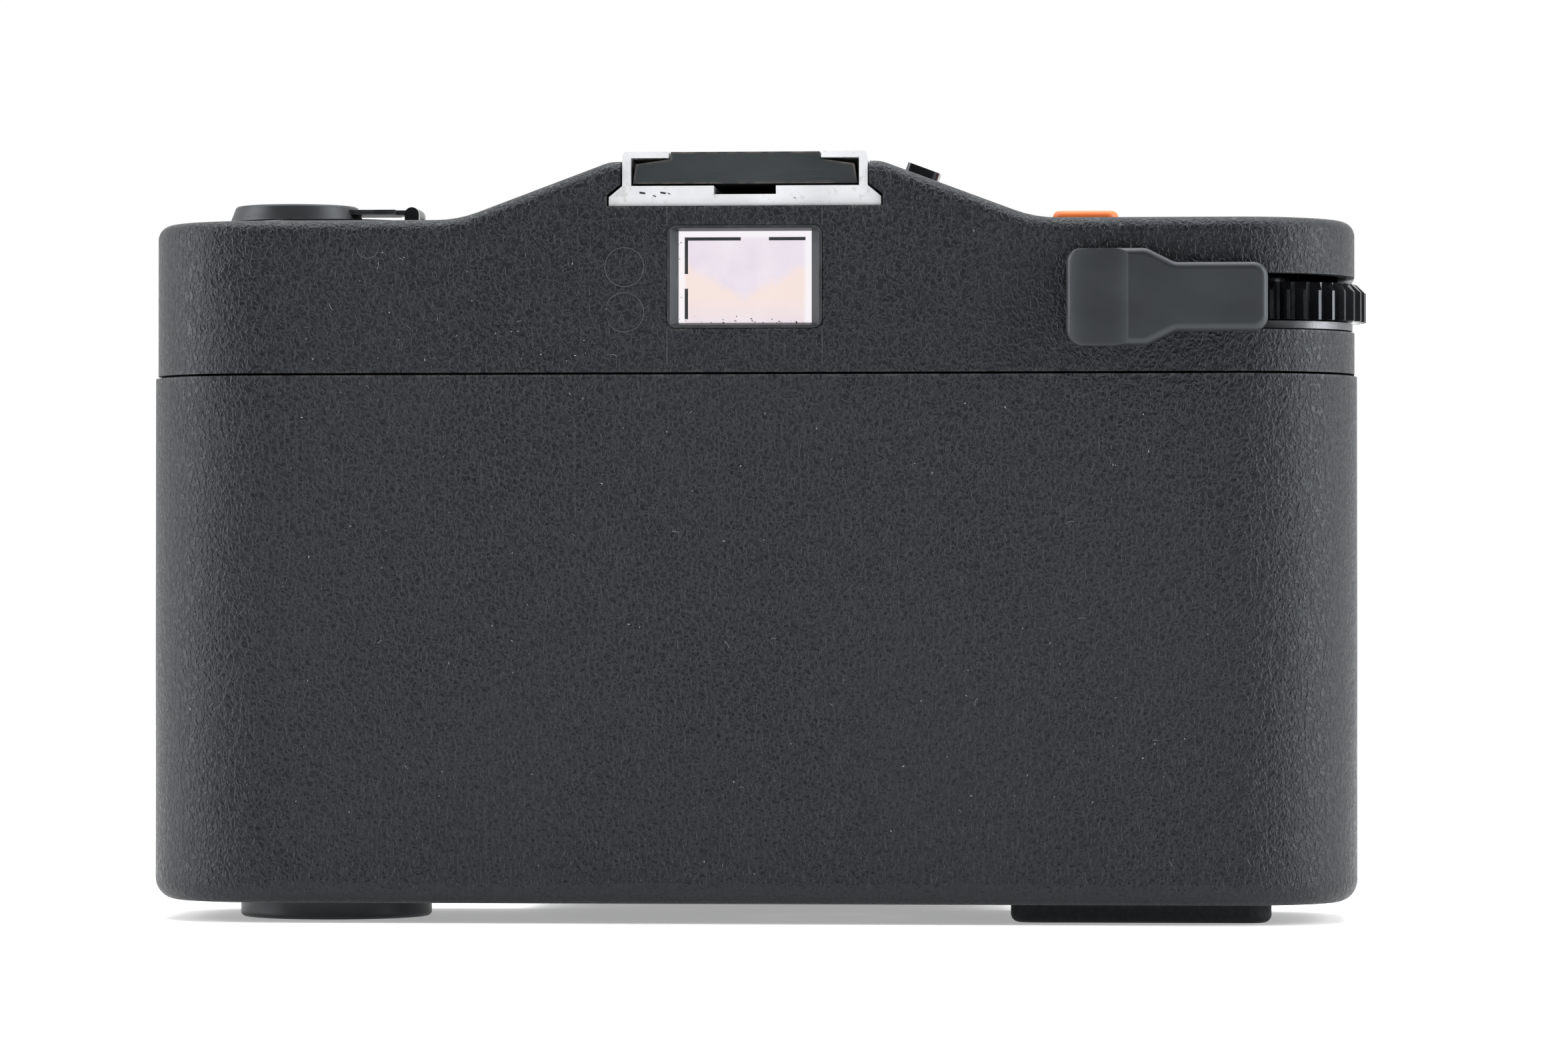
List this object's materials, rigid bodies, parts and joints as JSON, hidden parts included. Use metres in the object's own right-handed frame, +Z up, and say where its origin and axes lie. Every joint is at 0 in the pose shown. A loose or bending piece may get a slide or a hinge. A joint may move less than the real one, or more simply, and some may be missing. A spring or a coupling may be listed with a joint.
{
  "type": "folding 35 mm viewfinder camera",
  "caption": "Compact black plastic 35 mm viewfinder camera with a drop-down front door, a lens that slides out with it, a slide-off back, wind lever and folding rewind crank.",
  "frame": {"origin": "bottom centre of the whole camera with its door open, on the surface that it stands on", "axes": "+X towards the rewind end, +Y towards the back, the lens looks along -Y, +Z up"},
  "size_m": [0.1008, 0.0848, 0.0632],
  "materials": {
    "body_plastic": "moulded, fine leather-like grain, worn to a sheen on the edges",
    "body_plastic_inner": "flat black moulded, unpolished",
    "control_plastic": "smooth satin moulding",
    "lever_plastic": "smooth matte dark grey",
    "gloss_black": "glossy black",
    "release_orange": "satin orange",
    "pad_rubber": "matte black",
    "shoe_metal": "bead-blasted satin",
    "plate_metal": "satin black and grey",
    "dial_metal": "fine brushed",
    "steel": "bright",
    "spring_steel": "tempered",
    "board": "green laminate",
    "finder_glass": "clear, faint tint",
    "lens_glass": "coated"
  },
  "bodies": {
    "body": {"main_chassis": "body_plastic_inner", "front_panel": "body_plastic", "top_cover": "body_plastic", "eyepiece_frame": "body_plastic", "eyepiece_lens": "finder_glass", "finder_tunnel": "body_plastic_inner", "finder_objective": "finder_glass", "finder_window": "finder_glass", "meter_window": "finder_glass", "meter_cell": "steel", "counter_window": "finder_glass", "accessory_shoe": "shoe_metal", "shoe_screws": "steel", "circuit_board": "board", "deck_screws": "steel", "battery": "steel", "door_pin": "steel"},
    "back": {"back_shell": "body_plastic", "foot_pad": "pad_rubber", "tripod_bush": "steel", "plate_spring": "spring_steel"},
    "plate": {"pressure_plate": "plate_metal"},
    "rewind_release": {"rewind_button": "gloss_black"},
    "iso": {"iso_dial": "control_plastic"},
    "lock": {"lock_disc": "control_plastic"},
    "lock_finger_key": {"lock_key": "control_plastic"},
    "battery_lid": {"battery_cap": "body_plastic_inner"},
    "hot_shoe_cover": {"shoe_cover": "control_plastic"},
    "lever": {"wind_lever": "lever_plastic", "wind_wheel": "gloss_black", "lever_washer": "plate_metal"},
    "takeup": {"takeup_spool": "body_plastic_inner"},
    "film_sprocket": {"sprocket": "body_plastic_inner"},
    "counter": {"counter_dial": "dial_metal"},
    "rewind": {"rewind_spindle": "gloss_black"},
    "crank": {"crank_arm": "plate_metal", "crank_grip": "control_plastic"},
    "release": {"shutter_button": "release_orange"},
    "timer": {"timer_switch": "gloss_black"},
    "door": {"front_door": "body_plastic", "door_liner": "plate_metal"},
    "carriage": {"lens_housing": "control_plastic", "lens_board": "control_plastic", "rear_lens_holder": "control_plastic", "rear_lens": "lens_glass"},
    "blade_left": {"shutter_blade_left": "plate_metal"},
    "blade_right": {"shutter_blade_right": "plate_metal"},
    "aperture": {"aperture_ring": "control_plastic"},
    "focus": {"focus_ring": "control_plastic", "front_cell": "gloss_black", "front_lens": "lens_glass"}
  },
  "joints": [
    {"name": "back_removal", "type": "slide", "parent": "body", "child": "back", "axis": [0, 0, -1], "range_m": [0, 0.048]},
    {"name": "lock_turn", "type": "hinge", "parent": "back", "child": "lock", "pos_m": [0.0354, 0.02625, 0], "axis": [0, 0, 1], "range_deg": [0, 90]},
    {"name": "lock_key_fold", "type": "hinge", "parent": "lock", "child": "lock_finger_key", "pos_m": [0.0354, 0.02535, 0.0006], "axis": [-1, 0, 0], "range_deg": [0, 90]},
    {"name": "plate_travel", "type": "slide", "parent": "back", "child": "plate", "axis": [0, 1, 0], "range_m": [0, 0.0005], "stiffness_N_per_m": 400, "springref_m": -0.001},
    {"name": "rewind_release_press", "type": "slide", "parent": "back", "child": "rewind_release", "axis": [0, 0, 1], "range_m": [0, 0.001], "stiffness_N_per_m": 500, "springref_m": -0.0005},
    {"name": "iso_turn", "type": "hinge", "parent": "body", "child": "iso", "pos_m": [-0.006, 0.02625, 0], "axis": [0, 0, 1], "range_deg": [-120, 120]},
    {"name": "battery_cap_turn", "type": "hinge", "parent": "body", "child": "battery_lid", "pos_m": [-0.023, 0.0203, 0.006], "axis": [0, 0, -1], "range_deg": [0, 90]},
    {"name": "shoe_cover_slide", "type": "slide", "parent": "body", "child": "hot_shoe_cover", "axis": [0, 1, 0], "range_m": [0, 0.02]},
    {"name": "wind_lever_swing", "type": "hinge", "parent": "body", "child": "lever", "pos_m": [-0.0422, 0.027, 0.0495], "axis": [0, 0, 1], "range_deg": [0, 120]},
    {"name": "takeup_turn", "type": "hinge", "parent": "body", "child": "takeup", "pos_m": [-0.0386, 0.02625, 0.0285], "axis": [0, 0, 1], "range_deg": [-10, 300]},
    {"name": "sprocket_turn", "type": "hinge", "parent": "body", "child": "film_sprocket", "pos_m": [-0.0228, 0.0322, 0.0285], "axis": [0, 0, 1], "range_deg": [-10, 490]},
    {"name": "counter_turn", "type": "hinge", "parent": "body", "child": "counter", "pos_m": [-0.0422, 0.027, 0.055], "axis": [0, 0, 1], "range_deg": [-1, 11]},
    {"name": "rewind_turn", "type": "hinge", "parent": "body", "child": "rewind", "pos_m": [0.0354, 0.02625, 0.057], "axis": [0, 0, 1], "continuous": true},
    {"name": "crank_fold", "type": "hinge", "parent": "rewind", "child": "crank", "pos_m": [0.0288, 0.02625, 0.0588], "axis": [0, -1, 0], "range_deg": [0, 150]},
    {"name": "shutter_press", "type": "slide", "parent": "body", "child": "release", "axis": [0, 0, -1], "range_m": [0, 0.0009], "stiffness_N_per_m": 600, "springref_m": -0.0005},
    {"name": "timer_slide", "type": "slide", "parent": "body", "child": "timer", "axis": [0, 1, 0], "range_m": [0, 0.003]},
    {"name": "door_fold", "type": "hinge", "parent": "body", "child": "door", "pos_m": [0, 0.0106, 0.0036], "axis": [-1, 0, 0], "range_deg": [0, 90]},
    {"name": "lens_slide", "type": "slide", "parent": "body", "child": "carriage", "axis": [0, 1, 0], "range_m": [0, 0.0137]},
    {"name": "blade_left_swing", "type": "hinge", "parent": "carriage", "child": "blade_left", "pos_m": [-0.004, 0.0099, 0.0175], "axis": [0, 1, 0], "range_deg": [0, 35]},
    {"name": "blade_right_swing", "type": "hinge", "parent": "carriage", "child": "blade_right", "pos_m": [0.004, 0.0099, 0.0175], "axis": [0, 1, 0], "range_deg": [-35, 0]},
    {"name": "aperture_turn", "type": "hinge", "parent": "carriage", "child": "aperture", "pos_m": [0, 0.0075, 0.0285], "axis": [0, 1, 0], "range_deg": [-30, 60]},
    {"name": "focus_turn", "type": "hinge", "parent": "carriage", "child": "focus", "pos_m": [0, 0.0075, 0.0285], "axis": [0, 1, 0], "range_deg": [-90, 90]}
  ],
  "couplings": [
    {"joint": "lens_slide", "follows": "door_fold", "m_per_rad": 0.0087217},
    {"joint": "takeup_turn", "follows": "wind_lever_swing", "ratio": 2.2},
    {"joint": "sprocket_turn", "follows": "wind_lever_swing", "ratio": 4},
    {"joint": "counter_turn", "follows": "wind_lever_swing", "ratio": 0.08},
    {"joint": "blade_right_swing", "follows": "blade_left_swing", "ratio": -1}
  ]
}
